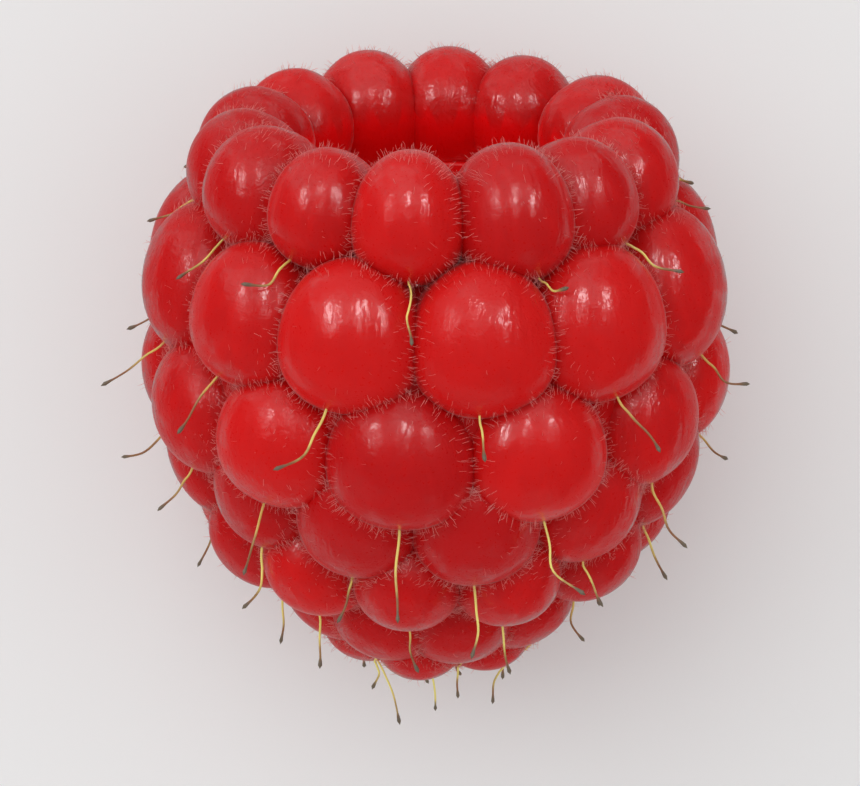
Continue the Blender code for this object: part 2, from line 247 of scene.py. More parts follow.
class Drupelet(NamedTuple):
    """A drupelet's place in the fruit's frame, its three directions and its half sizes."""

    ring: int
    place: int
    middle: Vector
    sideways: Vector
    rimward: Vector
    outward: Vector
    width: float
    length: float
    depth: float
    inner: float


def hollow_radius(height):
    """Radius of the hollow at a height along the axis."""
    down = min(max((MOUTH_HEIGHT - height) / HOLLOW_DEPTH, 0.0), 1.0)
    return MOUTH_RADIUS * (1.0 - down**HOLLOW_BLUNTNESS) ** (1.0 / HOLLOW_BLUNTNESS)


def hollow_radii(heights):
    """Radii of the hollow at many heights."""
    down = np.clip((MOUTH_HEIGHT - heights) / HOLLOW_DEPTH, 0.0, 1.0)
    return MOUTH_RADIUS * (1.0 - down**HOLLOW_BLUNTNESS) ** (1.0 / HOLLOW_BLUNTNESS)


def inner_length(middle, outward):
    """How far a drupelet reaches inwards from its middle, to just inside the hollow."""
    step = 0.05
    length = 0.0
    point = middle.copy()
    while math.hypot(point.x, point.y) > hollow_radius(point.z) and point.z < MOUTH_HEIGHT:
        length += step
        point = middle - outward * length
    return length + INNER_BULGE


def drupelet_at(number, place):
    """The drupelet at one place of a ring."""
    ring = RINGS[number]
    turn = ring.turn + 360.0 * place / ring.count
    back = 0.5 - 0.5 * math.cos(math.radians(turn))
    draw = random.Random(f"drupelet {number} {place}")
    extra_turn, extra_size = UNEVEN.get((number, place), (0.0, 0.0))
    turn += extra_turn + ring.settle * back + BACK_TURN * back * draw.uniform(-1.0, 1.0)
    size = 1.0 + extra_size + BACK_SIZE * back * draw.uniform(-1.0, 1.0)
    aside = min(2.0 * back, 1.0)
    lowered = RIM_LOWERING * math.sin(math.radians(turn)) ** 2 if number == 0 else 0.0
    angle = math.radians(turn)
    lean = math.radians(ring.lean)
    away = Vector((math.sin(angle), -math.cos(angle), 0.0))
    up = Vector((0.0, 0.0, 1.0))
    outward = away * math.cos(lean) + up * math.sin(lean)
    rimward = up * math.cos(lean) - away * math.sin(lean)
    middle = away * ring.radius + up * ring.height
    return Drupelet(
        number,
        place,
        middle,
        rimward.cross(outward),
        rimward,
        outward,
        ring.width * (size + SIDE_SWELL * aside),
        ring.length * (size + SIDE_STRETCH * aside - lowered),
        ring.depth * (size - lowered),
        inner_length(middle, outward),
    )


def all_drupelets():
    return [
        drupelet_at(number, place)
        for number, ring in enumerate(RINGS)
        for place in range(ring.count)
    ]


def lifted_clear(point, drupelets, owner):
    """The point moved out of any drupelet but its owner."""
    for drupelet in drupelets:
        if drupelet is owner:
            continue
        apart = point - drupelet.middle
        if apart.length_squared > STYLE_NEIGHBOURS**2:
            continue
        share = math.sqrt(
            (apart.dot(drupelet.sideways) / drupelet.width) ** 2
            + (apart.dot(drupelet.rimward) / drupelet.length) ** 2
            + (apart.dot(drupelet.outward) / drupelet.depth) ** 2
        )
        room = 1.0 + (SOLID_STYLE_RADIUS + STYLE_HEADROOM) / drupelet.depth
        if 0.0 < share < room:
            point = drupelet.middle + apart * (room / share)
    return point


def outer_point(drupelet, polar, around):
    """A point of the rounded outer half, by its angle from the outward pole and round that pole."""
    polar = math.radians(polar)
    side, up = math.cos(around), math.sin(around)
    across = math.sin(polar) / (abs(side) ** BOXINESS + abs(up) ** BOXINESS) ** (1.0 / BOXINESS)
    side *= 1.0 - EGG * across * up
    return (
        drupelet.middle
        + drupelet.sideways * (drupelet.width * across * side)
        + drupelet.rimward * (drupelet.length * across * up)
        + drupelet.outward * (drupelet.depth * math.cos(polar))
    )


def has_style(drupelet):
    """Whether the drupelet's lower edge is high enough above the surface to keep its style."""
    foot = LAID @ outer_point(drupelet, STYLE_ROOT_ANGLE, -0.5 * math.pi)
    return foot.z + MIDDLE_ABOVE_SURFACE > PRESSED_OFF_BELOW


def style_path(drupelet, drupelets):
    """Points along a style, from inside its drupelet to the knob, in the fruit's frame."""
    draw = random.Random(f"style {drupelet.ring} {drupelet.place}")
    turned = 1.0 if drupelet.middle.x > 0.0 else -1.0
    lean = draw.gauss(0.0, DRAWN_LEAN)
    drawn = (lean, lean, turned * draw.uniform(*DRAWN_TURNS), draw.uniform(*DRAWN_SHARES))
    lean, run, turn, share = FRONT_STYLES.get((drupelet.ring, drupelet.place), drawn)
    rise = math.radians(STYLE_RISE + draw.uniform(-UNEVEN_RISE, UNEVEN_RISE))
    length = STYLE_LENGTH * share
    foot = outer_point(drupelet, STYLE_ROOT_ANGLE, math.radians(lean - 90.0))
    points = []
    point = foot
    before = 0.0
    for step in STYLE_STEPS:
        at_end = step > STYLE_BEND
        swing = math.radians(run + (turn if at_end else 0.0))
        lift = rise + (STYLE_END_LIFT if at_end else 0.0)
        heading = (
            drupelet.outward * math.sin(lift)
            - drupelet.rimward * (math.cos(lift) * math.cos(swing))
            + drupelet.sideways * (math.cos(lift) * math.sin(swing))
        )
        point = point + heading * (length * (step - before))
        point = lifted_clear(point, drupelets, drupelet)
        before = step
        points.append(point.copy())
    root = drupelet.middle + (foot - drupelet.middle) * (1.0 - STYLE_ROOT_DEPTH)
    return [root] + points


def kept_off_surface(points, radius):
    """The path with what would go through the surface under the fruit cut short."""
    lowest = STYLE_CLEARANCE + radius - MIDDLE_ABOVE_SURFACE
    kept = []
    for point in points:
        laid = LAID @ point
        laid.z = max(laid.z, lowest)
        kept.append(LAID.inverted() @ laid)
    return kept


# The drupelets as arrays, for what is worked out for many points at once.


class Growth(NamedTuple):
    """Every drupelet's middle, its three directions, its three half sizes and its inner length."""

    middles: np.ndarray
    axes: np.ndarray
    sizes: np.ndarray
    inner: np.ndarray

    def of(self, index):
        return Growth(*(values[index] for values in self))


def growth_of(drupelets):
    return Growth(
        np.array([d.middle for d in drupelets]),
        np.array([(d.sideways, d.rimward, d.outward) for d in drupelets]),
        np.array([(d.width, d.length, d.depth) for d in drupelets]),
        np.array([d.inner for d in drupelets]),
    )


def local_of(points, growth):
    """The points in the drupelets' own directions, as shares of their half sizes."""
    return np.einsum("...j,...ij->...i", points - growth.middles, growth.axes) / growth.sizes


def beyond(points, growth):
    """How far outside the drupelets' skins the points are, as a share of the half size."""
    local = local_of(points, growth)
    side = local[..., 0] / (1.0 - EGG * np.clip(local[..., 1], -1.0, 1.0))
    squared = (np.abs(side) ** BOXINESS + np.abs(local[..., 1]) ** BOXINESS) ** (2.0 / BOXINESS)
    outer = np.sqrt(squared + local[..., 2] ** 2) - 1.0
    share = np.clip(-local[..., 2] * growth.sizes[..., 2] / growth.inner, 0.0, PAST_INNER_END)
    inside = np.minimum(share, AT_INNER_END)
    across = (1.0 - INNER_TAPER * inside**2) * np.sqrt(1.0 - inside**INNER_BLUNTNESS)
    inner = np.maximum(np.sqrt(squared) / across - 1.0, share - 1.0)
    return np.where(local[..., 2] >= 0.0, outer, inner)


def distances(points, growth):
    """Distances in millimetres from some points to every drupelet's skin, in rows."""
    return beyond(points[:, None, :], growth.of(np.s_[None])) * growth.sizes.mean(axis=1)


def blunt_circle(turns):
    """Points round a drupelet's outline of half size 1."""
    circle = np.stack([np.cos(turns), np.sin(turns)], axis=1)
    return circle / ((np.abs(circle) ** BOXINESS).sum(axis=1) ** (1.0 / BOXINESS))[:, None]


def skin_directions(points, growth):
    """The outward direction of each point's own drupelet there."""
    step = 1e-4
    slopes = []
    for axis in np.eye(3):
        ahead = beyond(points + axis * step, growth)
        behind = beyond(points - axis * step, growth)
        slopes.append(ahead - behind)
    slopes = np.stack(slopes, axis=-1)
    return slopes / np.maximum(np.linalg.norm(slopes, axis=-1, keepdims=True), 1e-12)


def rooms(points, owners, growth):
    """Distance in millimetres from each point to the nearest drupelet but its owner."""
    found = np.empty(len(points))
    for start in range(0, len(points), POINTS_AT_ONCE):
        some = slice(start, start + POINTS_AT_ONCE)
        apart = distances(points[some], growth)
        apart[np.arange(len(apart)), owners[some]] = np.inf
        found[some] = apart.min(axis=1)
    return found


def resting_place(drupelets):
    """The move from the fruit's frame to where it lies in the scene, in metres."""
    growth = growth_of(drupelets)
    turned = np.array(LAID.to_3x3())
    reach = np.sqrt((((growth.axes @ turned.T) * growth.sizes[:, :, None]) ** 2).sum(axis=1))
    middles = growth.middles @ turned.T
    ends = []
    for drupelet in drupelets:
        if has_style(drupelet):
            path = kept_off_surface(style_path(drupelet, drupelets), SOLID_KNOB_RADIUS)
            ends.append(turned @ np.array(path[-1]))
    ends = np.array(ends)
    low = np.minimum((middles - reach).min(axis=0), ends.min(axis=0) - SOLID_KNOB_RADIUS / 2.0)
    high = np.maximum((middles + reach).max(axis=0), ends.max(axis=0) + SOLID_KNOB_RADIUS / 2.0)
    low_corner, high_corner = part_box(NODE)
    shift = (low_corner + high_corner) / 2.0 - Vector((low + high) / 2.0) * MM
    shift.z = low_corner.z + MIDDLE_ABOVE_SURFACE * MM
    return Matrix.Translation(shift) @ Matrix.Scale(MM, 4) @ LAID


def placed(points, place):
    """The points moved by a matrix."""
    turned = np.array(place)
    return points @ turned[:3, :3].T + turned[:3, 3]


# Mesh code that the pieces share.


def triangle_mesh(name, points, triangles):
    mesh = bpy.data.meshes.new(name)
    mesh.vertices.add(len(points))
    mesh.vertices.foreach_set("co", np.asarray(points, np.float32).ravel())
    mesh.loops.add(3 * len(triangles))
    mesh.loops.foreach_set("vertex_index", np.asarray(triangles, np.int32).ravel())
    mesh.polygons.add(len(triangles))
    mesh.polygons.foreach_set("loop_start", np.arange(0, 3 * len(triangles), 3, dtype=np.int32))
    mesh.update(calc_edges=True)
    mesh.shade_smooth()
    return mesh


def read_values(items, name, kind, width=1):
    """One value of every item of a mesh, in rows where it has several numbers."""
    values = np.empty(width * len(items), kind)
    items.foreach_get(name, values)
    return values.reshape(-1, width) if width > 1 else values


def put_values(mesh, name, kind, domain, values):
    """A named value on the mesh's points, corners or faces, for its material to read."""
    layer = mesh.attributes.new(name, kind, domain)
    values = np.asarray(values)
    if kind == "INT":
        layer.data.foreach_set("value", values.astype(np.int32))
    else:
        key = "vector" if kind == "FLOAT_VECTOR" else "value"
        layer.data.foreach_set(key, values.astype(np.float32).ravel())


def riding_piece(name, mesh, material):
    """The mesh as a piece of the fruit, in the scene and on its body."""
    mesh.materials.clear()
    mesh.materials.append(material)
    piece = bpy.data.objects.new(name, mesh)
    bpy.context.scene.collection.objects.link(piece)
    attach(piece, BODY)
    return piece


def ring_triangles(sides, rings):
    """Triangles over rings of points that stand in a row between two end points."""
    triangles = []
    last = 1 + rings * sides
    for side in range(sides):
        after = (side + 1) % sides
        triangles.append((0, 1 + after, 1 + side))
        for low in range(1, last - sides, sides):
            high = low + sides
            triangles.append((low + side, low + after, high + after))
            triangles.append((low + side, high + after, high + side))
        triangles.append((last - sides + side, last - sides + after, last))
    return np.array(triangles)


def tubes(paths, radii, sides):
    """Points, triangles and shares of the length of many closed tubes.

    The first and the last point of each path are the middles of its closed ends.
    """
    count, steps = paths.shape[:2]
    ahead = np.gradient(paths, axis=1)
    ahead /= np.maximum(np.linalg.norm(ahead, axis=2, keepdims=True), 1e-12)
    flattest = np.eye(3)[np.abs(ahead[:, 0]).argmin(axis=1)]
    side = np.cross(ahead[:, 0], flattest)
    angles = 2.0 * math.pi * np.arange(sides) / sides
    rings = []
    for step in range(1, steps - 1):
        along = ahead[:, step]
        side = side - along * (side * along).sum(axis=1, keepdims=True)
        side /= np.maximum(np.linalg.norm(side, axis=1, keepdims=True), 1e-12)
        other = np.cross(along, side)
        ring = (
            side[:, None, :] * np.cos(angles)[None, :, None]
            + other[:, None, :] * np.sin(angles)[None, :, None]
        )
        rings.append(paths[:, step, None, :] + ring * radii[:, step, None, None])
    points = np.concatenate([paths[:, :1]] + rings + [paths[:, -1:]], axis=1)
    firsts = points.shape[1] * np.arange(count)
    triangles = ring_triangles(sides, steps - 2)[None] + firsts[:, None, None]
    shares = np.concatenate([[0.0], np.repeat(np.arange(1, steps - 1), sides), [steps - 1.0]])
    shares = np.tile(shares / (steps - 1.0), count)
    return points.reshape(-1, 3), triangles.reshape(-1, 3), shares


# The skin: every drupelet and the wall, fused.


def drupelet_mesh(drupelet, sides, rows):
    """One drupelet's skin as points and triangles."""
    circle = blunt_circle(2.0 * math.pi * np.arange(sides) / sides)
    levels = []
    for row in range(1, rows + 1):
        polar = 0.5 * math.pi * row / rows
        levels.append((math.cos(polar), math.sin(polar)))
    for share in INNER_ROWS:
        across = (1.0 - INNER_TAPER * share**2) * (1.0 - share**INNER_BLUNTNESS) ** 0.5
        levels.append((-share * drupelet.inner / drupelet.depth, across))
    rings = []
    for rise, across in levels:
        outline = circle * across
        outline[:, 0] *= 1.0 - EGG * outline[:, 1]
        rings.append(np.column_stack([outline, np.full(sides, rise)]))
    ends = [np.array([[0.0, 0.0, 1.0]]), np.array([[0.0, 0.0, -drupelet.inner / drupelet.depth]])]
    local = np.concatenate([ends[0]] + rings + [ends[1]])
    sizes = np.array((drupelet.width, drupelet.length, drupelet.depth))
    axes = np.array((drupelet.sideways, drupelet.rimward, drupelet.outward))
    points = np.array(drupelet.middle) + (local * sizes) @ axes
    triangles = []
    last = len(points) - 1
    for side in range(sides):
        after = (side + 1) % sides
        triangles.append((0, 1 + side, 1 + after))
        for ring in range(len(rings) - 1):
            upper = 1 + ring * sides
            lower = upper + sides
            triangles.append((upper + side, lower + side, lower + after))
            triangles.append((upper + side, lower + after, upper + after))
        triangles.append((last, last - sides + after, last - sides + side))
    return points, np.array(triangles)


def wall_mesh(sides):
    """The thimble-shaped wall that the drupelets stand on."""
    outside = [(WALL_TOP, RINGS[0].radius)]
    outside += [(ring.height, ring.radius + WALL_RISE) for ring in RINGS[1:-1]]
    bottom = MOUTH_HEIGHT - HOLLOW_DEPTH
    heights = [WALL_TOP] + [bottom + HOLLOW_DEPTH * share for share in HOLLOW_ROWS]
    inside = [(height, hollow_radius(height)) for height in heights]
    turns = 2.0 * math.pi * np.arange(sides) / sides
    rings = []
    for height, radius in outside[::-1] + inside:
        ring = [radius * np.cos(turns), radius * np.sin(turns), np.full(sides, height)]
        rings.append(np.stack(ring, axis=1))
    ends = [np.array([[0.0, 0.0, WALL_BASE]]), np.array([[0.0, 0.0, bottom]])]
    return np.concatenate([ends[0]] + rings + [ends[1]]), ring_triangles(sides, len(rings))


def numbered_object(name, shape, number):
    """A part of the skin as an object whose faces remember which one it was."""
    points, triangles = shape
    mesh = triangle_mesh(name, points, triangles)
    put_values(mesh, "drupelet", "INT", "FACE", np.full(len(triangles), number))
    return bpy.data.objects.new(name, mesh)


def fused_mesh(base, parts):
    """One Boolean union of the base and all the parts, which are then removed."""
    scene_objects = bpy.context.scene.collection.objects
    scene_objects.link(base)
    group = bpy.data.collections.new("fused")
    bpy.context.scene.collection.children.link(group)
    for part in parts:
        group.objects.link(part)
    union = base.modifiers.new("fuse", "BOOLEAN")
    union.operation = "UNION"
    union.operand_type = "COLLECTION"
    union.collection = group
    union.solver = "MANIFOLD"
    graph = bpy.context.evaluated_depsgraph_get()
    fused = bpy.data.meshes.new_from_object(base.evaluated_get(graph))
    for part in [base] + parts:
        shape = part.data
        bpy.data.objects.remove(part)
        bpy.data.meshes.remove(shape)
    bpy.data.collections.remove(group)
    return fused


def connected_faces(face, found):
    """The face and all that it is joined to, which are added to what was found before."""
    found.add(face)
    waiting = [face]
    joined = []
    while waiting:
        face = waiting.pop()
        joined.append(face)
        for edge in face.edges:
            for neighbour in edge.link_faces:
                if neighbour not in found:
                    found.add(neighbour)
                    waiting.append(neighbour)
    return joined


def keep_largest_shell(fused):
    """Small gaps shut in between the drupelets removed."""
    mesh = bmesh.new()
    mesh.from_mesh(fused)
    found = set()
    shells = [connected_faces(face, found) for face in mesh.faces if face not in found]
    shells.sort(key=len)
    for shell in shells[:-1]:
        bmesh.ops.delete(mesh, geom=shell, context="FACES")
    bmesh.ops.triangulate(mesh, faces=mesh.faces)
    mesh.to_mesh(fused)
    mesh.free()


def mark_skin(mesh, points, corners, of_corner, drupelets):
    """The values that the skin's material reads. Returns each corner's exact direction."""
    growth = growth_of(drupelets)
    on_wall = of_corner < 0
    owners = np.maximum(of_corner, 0)
    own = growth.of(owners)
    at = points[corners]
    local = local_of(at, own)
    seeds = np.array([random.Random(f"seed {d.ring} {d.place}").random() for d in drupelets])
    tones = []
    for drupelet in drupelets:
        drawn = random.Random(f"tone {drupelet.ring} {drupelet.place}").random()
        limit = TONE_LIMITS[drupelet.ring >= DEEPEST_RINGS]
        tones.append(TONES.get((drupelet.ring, drupelet.place), drawn * limit))
    # The room to the next drupelet, which the material reads to paint shade into the creases.
    room = np.empty(len(points))
    for start in range(0, len(points), POINTS_AT_ONCE):
        some = slice(start, start + POINTS_AT_ONCE)
        room[some] = np.partition(distances(points[some], growth), 1, axis=1)[:, 1]
    depth = hollow_radii(at[:, 2]) + HOLLOW_REACH - np.hypot(at[:, 0], at[:, 1])
    inside = np.clip(depth / HOLLOW_FADE, 0.0, 1.0) * (at[:, 2] < MOUTH_HEIGHT)
    strand = local + STRAND_SPACING * seeds[owners, None]
    strand[on_wall] = at[on_wall] / MOUTH_RADIUS
    put_values(mesh, "strand", "FLOAT_VECTOR", "CORNER", strand)
    put_values(mesh, "seed", "FLOAT", "CORNER", seeds[owners])
    tone = np.where(on_wall, WALL_TONE, np.array(tones)[owners])
    put_values(mesh, "tone", "FLOAT", "CORNER", tone)
    put_values(mesh, "room", "FLOAT", "CORNER", np.where(on_wall, 0.0, room[corners]))
    put_values(mesh, "inside", "FLOAT", "CORNER", inside)
    directions = skin_directions(at, own)
    directions[on_wall] = 0.0
    return directions


def lay_flat(points, directions, corners):
    """The lowest drupelets pressed flat where the fruit lies on the surface."""
    turned = np.array(LAID.to_3x3())
    laid = points @ turned.T
    directions = directions @ turned.T
    pressed = laid[:, 2] < -MIDDLE_ABOVE_SURFACE
    laid[pressed, 2] = -MIDDLE_ABOVE_SURFACE
    directions[pressed[corners]] = (0.0, 0.0, -1.0)
    return laid @ turned, directions


def skin_mesh(drupelets, sides, rows, place):
    """The whole skin, laid down in metres."""
    base = numbered_object("wall", wall_mesh(4 * sides), -1)
    parts = [
        numbered_object(f"drupelet_{number}", drupelet_mesh(drupelet, sides, rows), number)
        for number, drupelet in enumerate(drupelets)
    ]
    mesh = fused_mesh(base, parts)
    mesh.name = "drupelet_skin_mesh"
    keep_largest_shell(mesh)
    points = read_values(mesh.vertices, "co", np.float32, 3).astype(float)
    corners = read_values(mesh.loops, "vertex_index", np.int32)
    of_corner = np.repeat(read_values(mesh.attributes["drupelet"].data, "value", np.int32), 3)
    directions = mark_skin(mesh, points, corners, of_corner, drupelets)
    points, directions = lay_flat(points, directions, corners)
    mesh.vertices.foreach_set("co", placed(points, place).astype(np.float32).ravel())
    mesh.update()
    mesh.shade_smooth()
    mark_creases(mesh, of_corner)
    mesh.normals_split_custom_set([tuple(direction) for direction in directions])
    return mesh


def mark_creases(mesh, of_corner):
    """Each edge where two drupelets meet made sharp."""
    edges = read_values(mesh.loops, "edge_index", np.int32)
    lowest = np.full(len(mesh.edges), of_corner.max())
    highest = np.full(len(mesh.edges), of_corner.min())
    np.minimum.at(lowest, edges, of_corner)
    np.maximum.at(highest, edges, of_corner)
    mesh.edges.foreach_set("use_edge_sharp", lowest != highest)


# The dried styles.


STYLE_SEED = 11
STYLE_DRYNESS = (0.55, 0.5)  # by the draw, and by how far to the side, as a share of SIDE_REACH
SIDE_REACH = 9.0
POINTS_BETWEEN = 24  # two controls of a path, before it is spaced evenly
STYLE_WAVES = (1.6, 2.6)  # along one style
STYLE_WAVE_SIZES = (0.02, 0.055)  # in millimetres
STYLE_WAVE_FULLNESS = 0.7  # power of the waves' rise and fall along the style
STYLE_RADII = (0.9, 1.1)  # shares of the usual radius
STYLE_TAPER = 0.22
KNOB_LENGTH = 0.42  # in millimetres
KNOB_LENGTHS = (0.8, 1.2)  # shares of that length
KNOB_RADII = (0.85, 1.1)  # shares of the usual radius
KNOB_SWELLING = 1.35  # how soon the knob is at its thickest
KNOB_ROUNDING = 0.35  # share of the knob over which it rounds off
KNOB_TIP = 0.15  # lower limit of the rounding


def smooth_path(controls, steps):
    """A smooth run of evenly spaced points through the controls."""
    controls = np.array([np.array(point) for point in controls])
    first = 2 * controls[:1] - controls[1:2]
    last = 2 * controls[-1:] - controls[-2:-1]
    padded = np.concatenate([first, controls, last])
    share = np.linspace(0.0, 1.0, POINTS_BETWEEN, endpoint=False)[:, None]
    dense = []
    for index in range(len(controls) - 1):
        before, start, end, after = padded[index : index + 4]
        dense.append(
            0.5
            * (
                2.0 * start
                + (end - before) * share
                + (2.0 * before - 5.0 * start + 4.0 * end - after) * share**2
                + (3.0 * start - before - 3.0 * end + after) * share**3
            )
        )
    dense = np.concatenate(dense + [controls[-1:]])
    length = np.concatenate([[0.0], np.cumsum(np.linalg.norm(np.diff(dense, axis=0), axis=1))])
    wanted = np.linspace(0.0, length[-1], steps)
    return np.stack([np.interp(wanted, length, dense[:, axis]) for axis in range(3)], axis=1)


def style_points(drupelet, drupelets, settings):
    """A style's path with its gentle waves, and its thickness along the way."""
    steps = settings.steps
    draw = random.Random(f"wave {drupelet.ring} {drupelet.place}")
    path = smooth_path(style_path(drupelet, drupelets), steps)
    share = np.linspace(0.0, 1.0, steps)
    length = np.linalg.norm(np.diff(path, axis=0), axis=1).sum()
    swell = np.sin(math.pi * share) ** STYLE_WAVE_FULLNESS
    for direction in (drupelet.sideways, drupelet.outward):
        phase = draw.uniform(0.0, 2.0 * math.pi)
        waves = draw.uniform(*STYLE_WAVES)
        size = draw.uniform(*STYLE_WAVE_SIZES)
        wave = np.sin(2.0 * math.pi * waves * share + phase) - math.sin(phase) * (1 - share)
        path += np.array(direction)[None] * (size * swell * wave)[:, None]
    knob_radius = settings.knob_radius / MM
    radius = settings.radius / MM * draw.uniform(*STYLE_RADII)
    for index in range(2, steps):
        path[index] = lifted_clear(Vector(path[index]), drupelets, drupelet)
    kept = kept_off_surface([Vector(point) for point in path], knob_radius)
    path = np.array([np.array(point) for point in kept])
    to_end = (1.0 - share) * length
    stalk = radius * (1.0 - STYLE_TAPER * share)
    knob = knob_radius * draw.uniform(*KNOB_RADII)
    knob_length = KNOB_LENGTH * draw.uniform(*KNOB_LENGTHS)
    swelling = np.clip(1.0 - to_end / knob_length, 0.0, 1.0)
    bulge = np.sin(np.clip(swelling * KNOB_SWELLING, 0.0, 1.0) * 0.5 * math.pi)
    rounding = np.sqrt(np.clip(to_end / (KNOB_ROUNDING * knob_length), KNOB_TIP, 1.0))
    return path, (stalk + (knob - stalk) * bulge) * rounding


# The fine hairs.


# How the places of hairs are drawn and kept, in millimetres where not shares.
HAIR_RINGS = {"rim": (0, 1), "middle": (2, 3), "tip": (4, 5, 6, 7)}
HAIR_SEED = 7
MARGIN_TRIES = 0.7  # share of the places that are drawn near the margins
MARGIN_RISES = (-0.10, 0.65)  # of such places above the drupelet's middle, in half depths
STRAY_HAIRS = 0.10  # share that lean any way round
CREST_SHARE = 0.09  # of the margins' hairs on the rim's crest, above CREST_FROM of its depth
CREST_FROM = 0.35
ROOT_ROOM = 0.015  # between a root and the next drupelet
TIP_ROOM = 0.01  # between a hair and the next drupelet
HOLLOW_ROOM = 0.1  # between a root and the hollow
FLOOR_ROOM = 0.04  # between a hair and the surface under the fruit

# How a hair grows from its root.
HAIR_LENGTHS = (0.55, 1.35)  # shares of the usual length
FACE_HAIRS = 0.6  # length on a drupelet's face, as a share of that along its margin
HAIR_LEANS = (5.0, 55.0)  # degrees from straight out
HAIR_SWING = 0.32  # radians from straight across the margin
HAIR_BEND = 0.22  # spread of the end's direction
HAIR_REACH = (0.55, 0.45)  # shares of its first and its last direction
MIDDLE_SHARE = 0.5  # of the length, at the ring of points half way
BENT_SHARE = 0.6  # of the rest, at the last ring of points before the tip
HAIR_FOOT = 0.04  # millimetres that a hair is sunk into the skin
HAIR_TAPER = (1.0, 1.0, 0.8, 0.6, 0.0)
HAIR_THICKNESS = (0.7, 0.4, 0.2)  # at least, more by the draw and more near the margin
HAIR_SIDES = 3


class Hairs(NamedTuple):
    """Many hairs. Their tips are reached from their roots in the hairs' own lengths."""

    roots: np.ndarray
    starts: np.ndarray
    reaches: np.ndarray
    lengths: np.ndarray
    close: np.ndarray  # to a margin, from 0 to 1
    drawn: np.ndarray


def hairs_on(index, drupelets, growth, place, settings):
    """The hairs of one drupelet: close together along its margin, and few on its face."""
    drupelet = drupelets[index]
    draw = np.random.default_rng([HAIR_SEED, drupelet.ring, drupelet.place])
    tries = settings.tries
    at_margin = draw.random(tries) < MARGIN_TRIES
    rise = np.where(
        at_margin, draw.uniform(*MARGIN_RISES, tries), draw.uniform(MARGIN_RISES[0], 1.0, tries)
    )
    across = np.sqrt(1.0 - np.maximum(rise, 0.0) ** 2)
    around = draw.uniform(0.0, 2.0 * math.pi, tries)
    local = np.column_stack([blunt_circle(around) * across[:, None], rise])
    local[:, 0] *= 1.0 - EGG * local[:, 1]
    roots = growth.middles[index] + (local * growth.sizes[index]) @ growth.axes[index]
    room = rooms(roots, np.full(tries, index), growth)
    close = np.exp(-room / (settings.margin / MM))
    if drupelet.ring == 0:
        close = np.maximum(close, CREST_SHARE * (local[:, 1] > CREST_FROM))
    chance = settings.face_share + (1.0 - settings.face_share) * close
    outside = np.hypot(roots[:, 0], roots[:, 1]) > hollow_radii(roots[:, 2]) + HOLLOW_ROOM
    tried = (draw.random(tries) < chance) & (room > ROOT_ROOM) & outside
    roots, close = roots[tried], close[tried]
    count = len(roots)
    owners = np.full(count, index)

    lengths = settings.length / MM * draw.uniform(*HAIR_LENGTHS, count)
    lengths *= FACE_HAIRS + (1.0 - FACE_HAIRS) * close
    normals = skin_directions(roots, growth.of(owners))
    outwards = np.cross(normals, np.cross(-growth.axes[index][2], normals))
    outwards /= np.maximum(np.linalg.norm(outwards, axis=1, keepdims=True), 1e-9)
    aside = np.cross(normals, outwards)
    swing = draw.normal(0.0, HAIR_SWING, count)
    swing += (draw.random(count) < STRAY_HAIRS) * draw.uniform(-math.pi, math.pi, count)
    flat = outwards * np.cos(swing)[:, None] + aside * np.sin(swing)[:, None]
    lean = np.radians(draw.uniform(*HAIR_LEANS, count))
    starts = normals * np.cos(lean)[:, None] + flat * np.sin(lean)[:, None]
    ends = starts + draw.normal(0.0, HAIR_BEND, (count, 3))
    ends /= np.linalg.norm(ends, axis=1, keepdims=True)
    reach = starts * HAIR_REACH[0] + ends * HAIR_REACH[1]
    tips = roots + reach * lengths[:, None]
    middles = roots + starts * (MIDDLE_SHARE * lengths)[:, None]
    clear = np.minimum(rooms(tips, owners, growth), rooms(middles, owners, growth))
    lowest = np.minimum(placed(tips, place)[:, 2], placed(middles, place)[:, 2])
    kept = (clear > TIP_ROOM) & (lowest > FLOOR_ROOM * MM)
    grown = Hairs(roots, starts, reach, lengths, close, draw.random(count))
    return Hairs(*(values[kept] for values in grown))


def hair_mesh(name, numbers, drupelets, growth, place, settings):
    """The hairs of some drupelets as one mesh of slim bent cones."""
    grown = [hairs_on(number, drupelets, growth, place, settings) for number in numbers]
    hairs = Hairs(*(np.concatenate(values) for values in zip(*grown)))
    lengths = hairs.lengths[:, None]
    half = hairs.starts * MIDDLE_SHARE
    bent = half + (hairs.reaches - half) * BENT_SHARE
    paths = np.stack(
        [
            hairs.roots - hairs.starts * HAIR_FOOT,
            hairs.roots - hairs.starts * (0.5 * HAIR_FOOT),
            hairs.roots + half * lengths,
            hairs.roots + bent * lengths,
            hairs.roots + hairs.reaches * lengths,
        ],
        axis=1,
    )
    least, by_draw, by_margin = HAIR_THICKNESS
    thick = settings.radius / MM * (least + by_draw * hairs.drawn + by_margin * hairs.close)
    points, triangles, shares = tubes(paths, thick[:, None] * np.array([HAIR_TAPER]), HAIR_SIDES)
    mesh = triangle_mesh(name, placed(points, place), triangles)
    put_values(mesh, "along", "FLOAT", "POINT", shares)
    pale = 0.5 * hairs.drawn + 0.5 * hairs.close
    put_values(mesh, "pale", "FLOAT", "POINT", np.repeat(pale, len(points) // len(paths)))
    return mesh


# Shader nodes.


